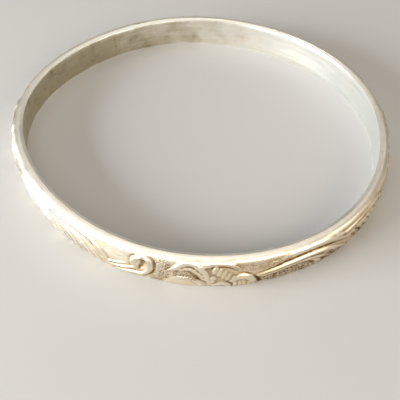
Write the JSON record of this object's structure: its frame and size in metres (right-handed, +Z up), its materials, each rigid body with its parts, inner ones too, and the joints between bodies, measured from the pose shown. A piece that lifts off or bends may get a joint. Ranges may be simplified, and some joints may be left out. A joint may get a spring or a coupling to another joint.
{
  "type": "bangle bracelet",
  "caption": "Rigid closed silver bangle: domed outer band struck with scroll, leaf, fan and fluted relief, smooth inner band, narrow flat rims.",
  "frame": {"origin": "centre of the bangle on the flat surface it lies on", "axes": "+Z up through the opening; +X along the slightly wider way across; -Y towards the front"},
  "size_m": [0.0686, 0.068, 0.006],
  "materials": {
    "struck_silver": "aged sterling silver, satin on the high parts, brown tarnish in the recesses",
    "liner_silver": "worn polished sterling silver with faint streaks along the band",
    "upper_rim_silver_solder": "silver solder line, filed flush",
    "lower_rim_silver_solder": "silver solder line, filed flush",
    "shell_seam_silver_solder": "silver solder line, filed flush",
    "liner_seam_silver_solder": "silver solder line, filed flush"
  },
  "bodies": {
    "root": {"outer_shell": "struck_silver", "inner_liner": "liner_silver", "upper_rim_solder": "upper_rim_silver_solder", "lower_rim_solder": "lower_rim_silver_solder", "shell_seam_solder": "shell_seam_silver_solder", "liner_seam_solder": "liner_seam_silver_solder"}
  },
  "joints": []
}
